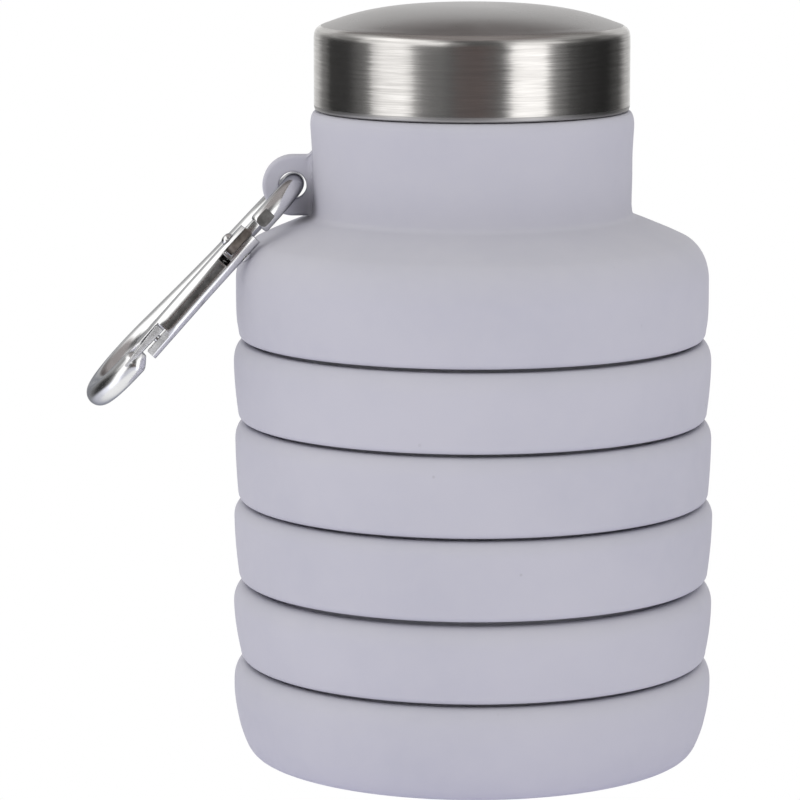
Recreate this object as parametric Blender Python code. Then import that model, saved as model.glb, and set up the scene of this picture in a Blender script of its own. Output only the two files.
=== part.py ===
"""Collapsible bottle: silicone bellows body, steel screw lid, hanging tab with a small snap hook.

Metres, +Z up, origin at the centre of the underside. The bottle stands collapsed, every fold closed.
The hanging tab points along -X and the snap hook's gate faces -Y.
"""
import math

import bmesh
import bpy
from mathutils import Matrix, Vector

for old in list(bpy.data.objects):
    bpy.data.objects.remove(old, do_unlink=True)

MM = 0.001

# ------------------------------------------------------------------ driving dimensions (millimetres)
SEG = 40                    # facets round the big turned pieces
GAP = 0.3                   # clearance between neighbouring pieces

FOLD_Z = [66.2, 53.55, 40.9, 28.15, 15.65]      # the five folds, from the shoulder down
BODY_IN_R = 34.0            # inner radius of every ring
SEAM_R = 35.95              # radius where two closed rings meet
RING_R = [37.2, 37.18, 37.45, 37.52]           # crown radius of rings 1 to 4
RING_FOOT_R = [36.68, 36.85, 36.85, 36.62]    # radius just above each ring's foot
CROWN_H = 2.6               # height of a ring's rounded crown
FOOT_H = 1.3                # height of a ring's rounded foot
BASE_R = 37.46              # crown radius of the base cup
BASE_FLAT_R = 29.8          # radius of the flat that the bottle stands on
BASE_FLOOR = 3.0            # thickness of the base's floor

SHOULDER_R = 36.75          # radius of the shoulder band
SHOULDER_ARC = (4.75, 6.65) # rounding at the shoulder's edge, across and down
SHOULDER_ARC_Z = 75.6       # height where the rounding meets the upright band
SHOULDER_TILT = 22.2        # slope of the shoulder cone, degrees
NECK_R = 24.8               # silicone neck, outside
NECK_IN_R = 21.2            # silicone neck, inside
NECK_FOOT_Z = 86.0          # where the neck meets the shoulder
NECK_TOP_Z = 101.75         # silicone rim

TAB_X, TAB_Z = -27.7, 90.15 # hanging tab: centre of its hole
TAB_R = 4.72                # outer end's radius
TAB_T = 2.8                 # thickness
TAB_HOLE_R = 2.25

FOLD_IN_R = 27.0            # radius of a fold's crease
FOLD_RISE = 7.4             # height of the crease above its seam while closed
FOLD_T = 0.9                # thickness of the folding wall

COLLAR_IN_R = 17.6          # mouth
COLLAR_R = 19.4             # root of the mouth's thread
COLLAR_TOP_Z = 112.6
COLLAR_BOTTOM_Z = 84.0
LEAD = 4.5                  # climb of the lid's thread in one turn
THREAD_TURNS = 1.5
THREAD_H = 1.15
THREAD_BASE = 1.7
THREAD_TIP = 0.8

LID_R = 24.42               # steel lid
LID_BOTTOM_Z = 102.0
LID_CORNER_Z = 113.3        # where the side starts to turn over
LID_TOP_Z = 118.13
LID_T = 0.6
LINER_R = 23.5
LINER_IN_R = 21.1
LINER_PLATE_Z = (114.4, 115.2)

HOOK_TILT = 46.9            # snap hook below the horizontal, degrees
HOOK_AT = (-27.95, 90.15)   # centre of its rod inside the tab's hole
ROD_R = 1.72
HOOK_L = 44.35              # rod centre to rod centre, tab end to far end
HOOK_R1 = 9.8               # bend at the tab end
HOOK_R2 = 11.2              # bend at the nose end
PIVOT_S = 11.86             # pivot pin, along the hook's axis
LATCH_S = 30.36
ROD_END_S = 7.05            # end of the rod on the gate's side
NOSE_S = 34.45              # end of the nose
GATE_W = 3.9                # gate, across its pins
GATE_D = (-1.85, 1.45)      # gate, from its outer face to its inner face
PIN_OUT = 0.3               # pins lie this far out of the gate's middle line
PIN_R = 0.62
SPRING_Y = 0.42             # spring bore, behind the groove's floor


# ------------------------------------------------------------------ helpers
def material(name, rgb, rough, metal):
    m = bpy.data.materials.new(name)
    m.use_nodes = True
    b = m.node_tree.nodes["Principled BSDF"]
    b.inputs["Base Color"].default_value = (*rgb, 1.0)
    b.inputs["Roughness"].default_value = rough
    b.inputs["Metallic"].default_value = metal
    return m


def finish(name, bm, mat, at=(0.0, 0.0, 0.0), parent=None, sharp=35.0):
    """Turns a bmesh in millimetres into an object whose origin is at the given world point."""
    bmesh.ops.recalc_face_normals(bm, faces=bm.faces)
    bmesh.ops.transform(bm, matrix=Matrix.Scale(MM, 4) @ Matrix.Translation(-Vector(at)), verts=bm.verts)
    me = bpy.data.meshes.new(name)
    bm.to_mesh(me)
    bm.free()
    me.materials.append(mat)
    ob = bpy.data.objects.new(name, me)
    bpy.context.scene.collection.objects.link(ob)
    ob.location = Vector(at) * MM
    me.shade_smooth()
    me.set_sharp_from_angle(angle=math.radians(sharp))
    if parent:
        bpy.context.view_layer.update()
        ob.parent = parent
        ob.matrix_parent_inverse = parent.matrix_world.inverted()
    return ob


def turned(profile, seg=SEG):
    """Spins a profile of (radius, height) points about Z. Points on the axis close the solid."""
    bm = bmesh.new()
    vs = [bm.verts.new((r, 0.0, z)) for r, z in profile]
    es = [bm.edges.new((a, b)) for a, b in zip(vs, vs[1:])]
    if min(profile[0][0], profile[-1][0]) > 1e-6:
        es.append(bm.edges.new((vs[-1], vs[0])))
    bmesh.ops.spin(bm, geom=vs + es, cent=(0, 0, 0), axis=(0, 0, 1), angle=2 * math.pi,
                   steps=seg, use_merge=True, use_duplicate=False)
    bmesh.ops.remove_doubles(bm, verts=bm.verts, dist=1e-5)
    return bm


def quarter(r0, z0, r1, z1, steps, bulge=1):
    """A quarter of an ellipse from one point to another: bulge 1 leaves the first point flat, -1 upright."""
    out = []
    for i in range(steps + 1):
        t = 0.5 * math.pi * i / steps
        if bulge > 0:
            out.append((r0 + (r1 - r0) * math.sin(t), z1 + (z0 - z1) * math.cos(t)))
        else:
            out.append((r1 + (r0 - r1) * math.cos(t), z0 + (z1 - z0) * math.sin(t)))
    return out


def swept(points, frames, sections, cap=True):
    """Skins a row of closed sections. frames are (u, w) direction pairs, sections are lists of (a, b)."""
    bm = bmesh.new()
    rings = []
    for p, (u, w), sec in zip(points, frames, sections):
        rings.append([bm.verts.new(p + u * a + w * b) for a, b in sec])
    for one, two in zip(rings, rings[1:]):
        n = len(one)
        for i in range(n):
            bm.faces.new((one[i], one[(i + 1) % n], two[(i + 1) % n], two[i]))
    if cap:
        bm.faces.new(list(reversed(rings[0])))
        bm.faces.new(rings[-1])
    bmesh.ops.recalc_face_normals(bm, faces=bm.faces)
    return bm


def slab(outline, thick, place):
    """Extrudes a flat outline in (a, b) by thick, centred, then places it with a matrix."""
    bm = bmesh.new()
    face = bm.faces.new([bm.verts.new((a, b, -thick / 2)) for a, b in outline])
    out = bmesh.ops.extrude_face_region(bm, geom=[face])
    top = [g for g in out["geom"] if isinstance(g, bmesh.types.BMVert)]
    bmesh.ops.translate(bm, vec=(0, 0, thick), verts=top)
    bmesh.ops.transform(bm, matrix=place, verts=bm.verts)
    bmesh.ops.recalc_face_normals(bm, faces=bm.faces)
    return bm


def rod(radius, length, place, seg=16):
    """A closed cylinder, centred, its axis along the matrix's Z."""
    bm = bmesh.new()
    bmesh.ops.create_cone(bm, cap_ends=True, cap_tris=False, segments=seg, radius1=radius,
                          radius2=radius, depth=length, matrix=place)
    return bm


def box(lo, hi, place):
    size = [b - a for a, b in zip(lo, hi)]
    mid = [(a + b) / 2 for a, b in zip(lo, hi)]
    bm = bmesh.new()
    bmesh.ops.create_cube(bm, size=1.0)
    bmesh.ops.transform(bm, matrix=place @ Matrix.Translation(mid) @ Matrix.Diagonal((*size, 1.0)),
                        verts=bm.verts)
    bmesh.ops.recalc_face_normals(bm, faces=bm.faces)
    return bm


def combine(target, bm, operation, name):
    """Adds or cuts with a hidden helper object through a Boolean modifier."""
    me = bpy.data.meshes.new(name)
    bmesh.ops.recalc_face_normals(bm, faces=bm.faces)
    bmesh.ops.transform(bm, matrix=Matrix.Scale(MM, 4), verts=bm.verts)
    bm.to_mesh(me)
    bm.free()
    tool = bpy.data.objects.new(name, me)
    bpy.context.scene.collection.objects.link(tool)
    tool.hide_render = True
    tool.display_type = "WIRE"
    mod = target.modifiers.new(name, "BOOLEAN")
    mod.operation = operation
    mod.solver = "EXACT"
    mod.object = tool
    return tool


def joint_axis(name, at, parent=None):
    e = bpy.data.objects.new(name, None)
    e.empty_display_size = 0.006
    bpy.context.scene.collection.objects.link(e)
    e.location = Vector(at) * MM
    if parent:
        bpy.context.view_layer.update()
        e.parent = parent
        e.matrix_parent_inverse = parent.matrix_world.inverted()
    return e


# ------------------------------------------------------------------ materials
SILICONE = material("silicone_lilac", (0.56, 0.55, 0.62), 0.62, 0.0)
STEEL = material("brushed_steel", (0.62, 0.62, 0.62), 0.32, 1.0)
CHROME = material("polished_steel", (0.78, 0.78, 0.79), 0.12, 1.0)
PLASTIC = material("white_plastic", (0.80, 0.80, 0.79), 0.42, 0.0)
SEAL = material("clear_silicone", (0.84, 0.84, 0.82), 0.55, 0.0)

# ------------------------------------------------------------------ silicone body
base_slide = joint_axis("axis_base", (0, 0, 0))

# base cup: flat underside, rounded foot, crown under the lowest fold
top = FOLD_Z[4] - GAP / 2
profile = [(0, 0), (BASE_FLAT_R, 0), (32.45, 0.45), (34.7, 1.15), (35.7, 2.8), (36.46, 5.0), (37.2, 8.0)]
profile += [(BASE_R, 11.0)]
profile += list(reversed(quarter(SEAM_R, top, BASE_R, top - CROWN_H, 3)))[0:]
profile += [(BODY_IN_R, top), (BODY_IN_R, BASE_FLOOR + 1.5), (BODY_IN_R - 1.5, BASE_FLOOR), (0, BASE_FLOOR)]
finish("base_cup", turned(profile), SILICONE, parent=base_slide)

# four rings, each tapering a little from its crown to its foot
slides = {5: base_slide}
for n in (4, 3, 2, 1):
    slides[n] = joint_axis("axis_ring_%d" % n, (0, 0, FOLD_Z[n]), slides[n + 1])
    z1 = FOLD_Z[n - 1] - GAP / 2
    z0 = FOLD_Z[n] + GAP / 2
    outer = quarter(SEAM_R, z1, RING_R[n - 1], z1 - CROWN_H, 3)
    foot = quarter(RING_FOOT_R[n - 1], z0 + FOOT_H, SEAM_R, z0, 2, bulge=-1)
    profile = outer + foot + [(BODY_IN_R, z0), (BODY_IN_R, z1)]
    finish("ring_%d" % n, turned(profile), SILICONE, at=(0, 0, FOLD_Z[n]), parent=slides[n])

# folding walls: a leg from each side of a seam runs up and inward to one crease
for n in range(1, 6):
    z = FOLD_Z[n - 1]
    hang, crease = BODY_IN_R - 0.35, FOLD_IN_R
    mid = [(hang, z + 2.4), (crease + 0.95, z + FOLD_RISE + 0.35), (crease + 0.15, z + FOLD_RISE),
           (crease + 0.15, z + FOLD_RISE - 1.0), (hang, z - 1.7)]
    side_a, side_b = [], []
    for i, p in enumerate(mid):
        a = Vector(mid[max(i - 1, 0)])
        b = Vector(mid[min(i + 1, len(mid) - 1)])
        d = (b - a).normalized()
        nrm = Vector((-d.y, d.x)) * FOLD_T / 2
        if i in (0, len(mid) - 1):
            # the ends stand upright against the ring's wall
            nrm = Vector((0, math.copysign(FOLD_T / 2 / abs(d.x), nrm.y)))
        side_a.append((p[0] + nrm.x, p[1] + nrm.y))
        side_b.append((p[0] - nrm.x, p[1] - nrm.y))
    finish("fold_web_%d" % n, turned(side_a + list(reversed(side_b)), 32), SILICONE,
           at=(0, 0, z), parent=slides[n])

# neck and shoulder with the hanging tab
neck_slide = joint_axis("axis_neck", (0, 0, FOLD_Z[0]), slides[1])
tilt = math.radians(SHOULDER_TILT)
arc = []
for i in range(6):
    a = math.atan2(SHOULDER_ARC[1], SHOULDER_ARC[0] * math.tan(tilt)) * (1 - i / 5)
    arc.append((SHOULDER_R - SHOULDER_ARC[0] * (1 - math.cos(a)), SHOULDER_ARC_Z + SHOULDER_ARC[1] * math.sin(a)))
edge_r, edge_z = arc[0]
cone_z = edge_z + (edge_r - NECK_R - 0.7) * math.tan(tilt)
z0 = FOLD_Z[0] + GAP / 2
profile = [(NECK_IN_R + 0.3, NECK_TOP_Z), (NECK_R - 0.6, NECK_TOP_Z), (NECK_R - 0.1, NECK_TOP_Z - 0.35),
           (NECK_R + 0.2, NECK_TOP_Z - 1.25), (NECK_R + 0.25, 98.8), (NECK_R, 96.0), (NECK_R - 0.08, NECK_FOOT_Z + 1.2), (NECK_R + 0.1, NECK_FOOT_Z),
           (NECK_R + 0.7, cone_z)]
profile += arc
profile += quarter(RING_FOOT_R[0] - 0.15, z0 + FOOT_H, SEAM_R, z0, 2, bulge=-1)
profile += [(BODY_IN_R, z0), (BODY_IN_R, SHOULDER_ARC_Z - 0.6), (SHOULDER_R - SHOULDER_ARC[0] - 0.5, SHOULDER_ARC_Z + 3.4),
            (23.0, 83.2), (23.0, 86.4), (NECK_IN_R, 86.7), (NECK_IN_R, NECK_TOP_Z - 0.5)]
neck = finish("neck_shoulder", turned(profile), SILICONE, at=(0, 0, FOLD_Z[0]), parent=neck_slide)

upright = Matrix.Rotation(math.radians(90), 4, "X")       # flat (a, b) to (X, Z)
outline = [(-23.4, TAB_Z + TAB_R)]
outline += [(TAB_X - TAB_R * math.sin(t), TAB_Z + TAB_R * math.cos(t))
            for t in [math.pi * i / 12 for i in range(13)]]
outline += [(-23.4, TAB_Z - TAB_R)]
combine(neck, slab(outline, TAB_T, upright), "UNION", "tab_helper")
combine(neck, rod(TAB_HOLE_R, TAB_T + 2, Matrix.Translation((TAB_X, 0, TAB_Z)) @ upright, 24),
        "DIFFERENCE", "tab_hole_cutter")


# ------------------------------------------------------------------ thread
def thread(root, height, bottom, inward):
    """A helical ridge with tapered ends, its foot sunk a little into the wall that carries it."""
    pts, frames, secs = [], [], []
    steps = int(36 * THREAD_TURNS)
    for i in range(steps + 1):
        a = 2 * math.pi * i / 36
        fade = min(1.0, i / 5.0, (steps - i) / 5.0)
        h = max(0.12, height * fade)
        u = Vector((math.cos(a), math.sin(a), 0)) * (-1 if inward else 1)
        pts.append(Vector((root * math.cos(a), root * math.sin(a), bottom + LEAD * i / 36)))
        frames.append((u, Vector((0, 0, 1))))
        tip = THREAD_BASE / 2 + (THREAD_TIP - THREAD_BASE) / 2 * h / height
        secs.append([(-0.35, -THREAD_BASE / 2), (h, -tip), (h, tip), (-0.35, THREAD_BASE / 2)])
    return swept(pts, frames, secs)


# ------------------------------------------------------------------ threaded mouth collar
profile = [(COLLAR_IN_R, COLLAR_BOTTOM_Z), (22.6, COLLAR_BOTTOM_Z), (22.6, 86.0), (NECK_IN_R - GAP, 86.3),
           (NECK_IN_R - GAP, 101.2), (COLLAR_R + 0.4, 102.0), (COLLAR_R, 102.4), (COLLAR_R, COLLAR_TOP_Z - 0.5),
           (COLLAR_R - 0.5, COLLAR_TOP_Z), (COLLAR_IN_R + 0.4, COLLAR_TOP_Z), (COLLAR_IN_R, COLLAR_TOP_Z - 0.4)]
collar = finish("neck_collar", turned(profile), PLASTIC, at=(0, 0, NECK_TOP_Z), parent=neck_slide)
combine(collar, thread(COLLAR_R, THREAD_H, 104.0, False), "UNION", "collar_thread_helper")

# ------------------------------------------------------------------ lid
lid_axis = joint_axis("axis_lid", (0, 0, LID_BOTTOM_Z), neck_slide)


def dome(r, drop=0.0):
    return LID_TOP_Z - drop - 3.35 * (r / 23.4) ** 3


outer = [(LID_R - 0.25, LID_BOTTOM_Z), (LID_R + 0.05, LID_BOTTOM_Z + 0.35), (LID_R, LID_BOTTOM_Z + 0.9),
         (LID_R, LID_CORNER_Z), (LID_R - 0.2, LID_CORNER_Z + 0.8), (LID_R - 0.8, LID_CORNER_Z + 1.4)]
outer += [(r, dome(r)) for r in (22.3, 20.4, 17.4, 13.4, 8.4, 0.0)]
inner = [(0.0, dome(0, LID_T))] + [(r, dome(r, LID_T)) for r in (9.0, 14.0, 18.0, 21.0)]
inner += [(23.1, LID_CORNER_Z + 0.8), (LID_R - LID_T, LID_CORNER_Z - 0.2), (LID_R - LID_T, LID_BOTTOM_Z)]
finish("lid_shell", turned(outer[::-1] + inner[::-1]), STEEL, at=(0, 0, LID_BOTTOM_Z), parent=lid_axis)

profile = [(0, LINER_PLATE_Z[1]), (21.0, LINER_PLATE_Z[1] - 0.35), (LINER_R - 0.4, 112.6), (LINER_R, 111.8),
           (LINER_R, LID_BOTTOM_Z + 0.7), (LINER_IN_R + 0.5, LID_BOTTOM_Z + 0.7), (LINER_IN_R, LID_BOTTOM_Z + 1.2),
           (LINER_IN_R, LINER_PLATE_Z[0]), (0, LINER_PLATE_Z[0])]
liner = finish("lid_liner", turned(profile), PLASTIC, at=(0, 0, LID_BOTTOM_Z), parent=lid_axis)
combine(liner, thread(LINER_IN_R, THREAD_H, 104.0 + LEAD / 2 - 0.05, True), "UNION", "liner_thread_helper")

profile = [(17.3, 112.9), (19.6, 112.9), (19.6, 114.1), (17.3, 114.1)]
finish("lid_gasket", turned(profile, 36), SEAL, at=(0, 0, 112.9), parent=lid_axis)

# ------------------------------------------------------------------ snap hook
tilt = math.radians(HOOK_TILT)
S = Vector((-math.cos(tilt), 0, -math.sin(tilt)))         # along the hook, away from the tab
V = Vector((0, 1, 0))                                     # from the gate side to the spine
N = S.cross(V)                                            # square to the hook's plane
O = Vector((HOOK_AT[0], 0, HOOK_AT[1]))
HOOK = Matrix((( S.x, V.x, N.x, O.x), (S.y, V.y, N.y, O.y), (S.z, V.z, N.z, O.z), (0, 0, 0, 1)))
hook_axis = joint_axis("axis_hook", O, neck_slide)

c1, c2 = HOOK_R1, HOOK_L - HOOK_R2
splay = math.asin((HOOK_R2 - HOOK_R1) / (c2 - c1))        # the legs splay towards the nose


def leg(s, side):
    """Centre of the gate leg (side -1) or the spine (side 1) at a distance along the hook."""
    return Vector((s, side * (HOOK_R1 * math.cos(splay) + (s - c1 + HOOK_R1 * math.sin(splay)) * math.tan(splay)), 0))


path = []
rod_end = -math.acos((ROD_END_S - c1) / HOOK_R1)
for i in range(13):
    a = rod_end + (-1.5 * math.pi + splay - rod_end) * i / 12
    path.append(Vector((c1 + HOOK_R1 * math.cos(a), HOOK_R1 * math.sin(a), 0)))
path += [leg(14, 1), leg(24, 1)]
nose_full = -math.acos((NOSE_S + 2.0 - c2) / HOOK_R2)     # the nose narrows over its last 2 mm
nose_end = -math.acos((NOSE_S - c2) / HOOK_R2)
for i in range(14):
    a = math.pi / 2 + splay + (nose_full - math.pi / 2 - splay) * i / 13
    path.append(Vector((c2 + HOOK_R2 * math.cos(a), HOOK_R2 * math.sin(a), 0)))
path.append(Vector((c2 + HOOK_R2 * math.cos(nose_end), HOOK_R2 * math.sin(nose_end), 0)))
frames, secs = [], []
for i, p in enumerate(path):
    d = (path[min(i + 1, len(path) - 1)] - path[max(i - 1, 0)]).normalized()
    u = Vector((-d.y, d.x, 0))
    frames.append((u, Vector((0, 0, 1))))
    r = ROD_R + (0.18 if i > 23 else 0.0)
    if i == 0:
        r -= 0.15
    if i == len(path) - 1:
        r = 1.2
    secs.append([(r * math.cos(t), r * math.sin(t)) for t in [2 * math.pi * (k + 0.5) / 10 for k in range(10)]])
bm = swept(path, frames, secs)
bmesh.ops.transform(bm, matrix=HOOK, verts=bm.verts)
hook = finish("carabiner_frame", bm, CHROME, at=O, parent=hook_axis)

gate_dir = (leg(30, -1) - leg(10, -1)).normalized()
gate_out = Vector((gate_dir.y, -gate_dir.x, 0))           # away from the spine
P = leg(PIVOT_S, -1) + gate_out * PIN_OUT
GATE = HOOK @ Matrix(((gate_dir.x, -gate_out.x, 0, P.x), (gate_dir.y, -gate_out.y, 0, P.y),
                      (0, 0, 1, 0), (0, 0, 0, 1)))        # gate frame: x along, y towards the spine, z across
# tongue at the pivot end, a plate with a round end about the pin
plate = [(-5.4, -1.3)]
plate += [(1.7 * math.cos(t), 1.7 * math.sin(t)) for t in [math.radians(-130 + 26 * i) for i in range(11)]]
plate += [(-5.4, 1.3)]
combine(hook, slab(plate, 1.5, GATE), "UNION", "tongue_helper")
combine(hook, rod(PIN_R + 0.28, 3.0, GATE, 14), "DIFFERENCE", "tongue_hole_cutter")
# tongue at the nose, with a notch that takes the latch pin
L = LATCH_S - PIVOT_S
plate = [(L + 6.5, -1.1), (L + 6.5, 1.1), (L + 1.15, 1.1), (L + 1.0, 0.95), (L + 1.0, -0.6), (L - 0.95, -0.6),
         (L - 0.95, 0.35), (L - 1.35, 0.35), (L - 1.75, -0.1), (L - 1.75, -1.1)]
combine(hook, slab(plate, 1.3, GATE), "UNION", "nose_tongue_helper")

# gate: a channel with slots for both tongues, a groove along its face and a bore for the spring
gate_axis = joint_axis("axis_gate", HOOK @ P, hook_axis)
x0, x1 = 8.83 - PIVOT_S, 32.76 - PIVOT_S
w, e, f = GATE_W / 2, 0.8, 1.05
d0, d1 = GATE_D[0] + PIN_OUT, GATE_D[1] + PIN_OUT
section = [(d0, -w + e), (d0 + e, -w), (d1 - f, -w), (d1, -w + f), (d1, w - f), (d1 - f, w), (d0 + e, w), (d0, w - e)]
bm = swept([GATE @ Vector((x, 0, 0)) for x in (x0, x1)],
           [((GATE.to_3x3() @ Vector((0, 1, 0))), (GATE.to_3x3() @ Vector((0, 0, 1))))] * 2, [section] * 2)
gate = finish("carabiner_gate", bm, CHROME, at=HOOK @ P, parent=gate_axis)
combine(gate, box((x0 - 1, d0 - 1, -1.05), (2.05, d1 + 1, 1.05), GATE), "DIFFERENCE", "pivot_slot_cutter")
combine(gate, box((1.9, d0 - 1, -0.95), (3.05, d0 + 2.2, 0.95), GATE), "DIFFERENCE", "notch_cutter")
combine(gate, box((3.0, d0 - 1, -0.65), (16.2, d0 + 0.6, 0.5), GATE), "DIFFERENCE", "groove_cutter")
combine(gate, box((L - 2.05, d0 - 1, -0.95), (x1 + 1, d1 + 1, 0.95), GATE), "DIFFERENCE", "nose_slot_cutter")
turn_x = Matrix.Rotation(math.radians(90), 4, "Y")
combine(gate, rod(0.88, 6.0, GATE @ Matrix.Translation((5.0, SPRING_Y, 0)) @ turn_x, 14), "DIFFERENCE", "spring_bore_cutter")
combine(gate, rod(PIN_R + 0.28, GATE_W + 2, GATE, 14), "DIFFERENCE", "pivot_hole_cutter")
combine(gate, rod(PIN_R + 0.2, GATE_W + 2, GATE @ Matrix.Translation((L, 0.35, 0)), 14), "DIFFERENCE", "latch_hole_cutter")


def pin(shaft, head, half, low, high, seg=14):
    """A shaft with a flat round head at each end, turned about Z. low and high are the heads' thicknesses."""
    prof = [(0, -half - high), (head * 0.8, -half - high), (head, -half - high * 0.6), (head, -half),
            (shaft, -half), (shaft, half), (head, half), (head, half + low * 0.6), (head * 0.8, half + low),
            (0, half + low)]
    return turned(prof, seg)


# the head beside the shoulder is the flatter one
bm = pin(PIN_R, 0.9, w + 0.1, 0.16, 0.5)
bmesh.ops.transform(bm, matrix=GATE, verts=bm.verts)
finish("gate_pivot_pin", bm, CHROME, at=HOOK @ P, parent=hook_axis)

bm = turned([(0, -w + 0.1), (PIN_R, -w + 0.1), (PIN_R, w - 0.1), (0, w - 0.1)], 14)
bmesh.ops.transform(bm, matrix=GATE @ Matrix.Translation((L, 0.35, 0)), verts=bm.verts)
finish("gate_latch_pin", bm, CHROME, at=GATE @ Vector((L, 0.35, 0)), parent=gate_axis)

# gate spring: a small coil in the gate's bore
turns, wire, coil = 6, 0.16, 0.5
pts, frames, secs = [], [], []
for i in range(turns * 10 + 1):
    a = 2 * math.pi * i / 10
    out = Vector((0, math.cos(a), math.sin(a)))
    pts.append(Vector((2.3 + 5.2 * i / (turns * 10), SPRING_Y, 0)) + out * coil)
    frames.append((out, Vector((1, 0, 0))))
    secs.append([(wire * math.cos(t), wire * math.sin(t)) for t in [2 * math.pi * k / 5 for k in range(5)]])
bm = swept(pts, frames, secs)
bmesh.ops.transform(bm, matrix=GATE, verts=bm.verts)
finish("gate_spring", bm, CHROME, at=GATE @ Vector((2.3, SPRING_Y, 0)), parent=gate_axis)
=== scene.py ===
import math

import bmesh
import bpy
from mathutils import Matrix, Vector


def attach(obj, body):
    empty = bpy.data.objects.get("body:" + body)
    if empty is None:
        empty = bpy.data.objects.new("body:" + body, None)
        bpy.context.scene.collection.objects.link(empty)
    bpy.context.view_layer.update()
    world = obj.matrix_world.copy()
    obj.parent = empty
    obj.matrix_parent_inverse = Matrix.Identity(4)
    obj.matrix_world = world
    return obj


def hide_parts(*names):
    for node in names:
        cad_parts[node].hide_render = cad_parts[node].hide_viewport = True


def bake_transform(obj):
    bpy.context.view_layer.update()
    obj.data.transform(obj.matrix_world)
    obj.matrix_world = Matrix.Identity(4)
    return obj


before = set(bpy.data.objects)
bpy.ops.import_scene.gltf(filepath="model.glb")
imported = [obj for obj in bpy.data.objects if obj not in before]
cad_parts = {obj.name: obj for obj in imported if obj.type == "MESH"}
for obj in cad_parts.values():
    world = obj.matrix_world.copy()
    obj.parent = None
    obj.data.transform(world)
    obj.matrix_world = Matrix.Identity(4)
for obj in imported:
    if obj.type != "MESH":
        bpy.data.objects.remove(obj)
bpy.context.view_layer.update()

# A folded silicone bottle with a steel screw lid and a small snap hook, in a plain pale studio.
# Lengths below are in millimetres, in the frame's own axes, and are scaled to metres at the end of each piece.
MM = 0.001
TAU = 2 * math.pi
ROUND = 192                                   # facets round the big turned pieces

FOLD_Z = [66.2, 53.55, 40.9, 28.15, 15.65]    # seams between the rings, from the shoulder down
SEAMS = {1: (65.93, 66.52), 2: (53.28, 53.83), 3: (40.67, 41.19), 4: (27.76, 28.55), 5: (15.39, 15.97)}   # crown below, foot above
WALL_R = 34.0                                 # inner wall of the rings


# ------------------------------------------------------------------ mesh helpers
def link(name, mesh):
    ob = bpy.data.objects.new(name, mesh)
    bpy.context.scene.collection.objects.link(ob)
    return ob


def piece(name, bm, mats, body=None, nodes=(), sharp=48.0, pick=None):
    """Makes a finished object from a bmesh in millimetres. pick gives a face's material index from its centre."""
    bmesh.ops.recalc_face_normals(bm, faces=bm.faces)
    if pick:
        for f in bm.faces:
            f.material_index = pick(f.calc_center_median(), f.normal)
    bmesh.ops.transform(bm, matrix=Matrix.Scale(MM, 4), verts=bm.verts)
    me = bpy.data.meshes.new(name)
    bm.to_mesh(me)
    bm.free()
    for m in mats:
        me.materials.append(m)
    me.shade_smooth()
    me.set_sharp_from_angle(angle=math.radians(sharp))
    ob = link(name, me)
    if body:
        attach(ob, body)
    if nodes:
        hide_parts(*nodes)
    return ob


def lathe(profile, seg=ROUND, closed=True, shift=None):
    """Turns (radius, height) points about Z. A closed profile comes back to its first point."""
    bm = bmesh.new()
    rings = []
    for r, z in profile:
        if r < 1e-6:
            rings.append([bm.verts.new((0, 0, z))])
            continue
        row = []
        for k in range(seg):
            a = TAU * k / seg
            rr, zz = shift(r, z, a) if shift else (r, z)
            row.append(bm.verts.new((rr * math.cos(a), rr * math.sin(a), zz)))
        rings.append(row)
    pairs = list(zip(rings, rings[1:]))
    if closed:
        pairs.append((rings[-1], rings[0]))
    for one, two in pairs:
        if len(one) == 1 and len(two) == 1:
            continue
        for k in range(seg):
            j = (k + 1) % seg
            if len(one) == 1:
                bm.faces.new((one[0], two[k], two[j]))
            elif len(two) == 1:
                bm.faces.new((one[k], two[0], one[j]))
            else:
                bm.faces.new((one[k], two[k], two[j], one[j]))
    return bm


def smooth(points, step=0.45, loop=False):
    """A centripetal spline through (a, b) points, sampled about every step."""
    pts = [Vector(p) for p in points]
    n = len(pts)
    out = []
    for i in range(n if loop else n - 1):
        p1, p2 = pts[i], pts[(i + 1) % n]
        p0 = pts[i - 1] if (i > 0 or loop) else p1 * 2 - p2
        p3 = pts[(i + 2) % n] if (i + 2 < n or loop) else p2 * 2 - p1
        t = [0.0]
        for a, b in ((p0, p1), (p1, p2), (p2, p3)):
            t.append(t[-1] + max((b - a).length, 1e-6) ** 0.5)
        count = max(1, round((p2 - p1).length / step))
        for k in range(count):
            u = t[1] + (t[2] - t[1]) * k / count
            a1 = p0 * ((t[1] - u) / (t[1] - t[0])) + p1 * ((u - t[0]) / (t[1] - t[0]))
            a2 = p1 * ((t[2] - u) / (t[2] - t[1])) + p2 * ((u - t[1]) / (t[2] - t[1]))
            a3 = p2 * ((t[3] - u) / (t[3] - t[2])) + p3 * ((u - t[2]) / (t[3] - t[2]))
            b1 = a1 * ((t[2] - u) / (t[2] - t[0])) + a2 * ((u - t[0]) / (t[2] - t[0]))
            b2 = a2 * ((t[3] - u) / (t[3] - t[1])) + a3 * ((u - t[1]) / (t[3] - t[1]))
            c = b1 * ((t[2] - u) / (t[2] - t[1])) + b2 * ((u - t[1]) / (t[2] - t[1]))
            out.append(tuple(c))
    if not loop:
        out.append(tuple(pts[-1]))
    return out


def arc(cx, cy, rx, ry, a0, a1, n):
    """Points of an ellipse's arc, angles in degrees from the +a axis."""
    out = []
    for i in range(n + 1):
        a = math.radians(a0 + (a1 - a0) * i / n)
        out.append((cx + rx * math.cos(a), cy + ry * math.sin(a)))
    return out


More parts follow.
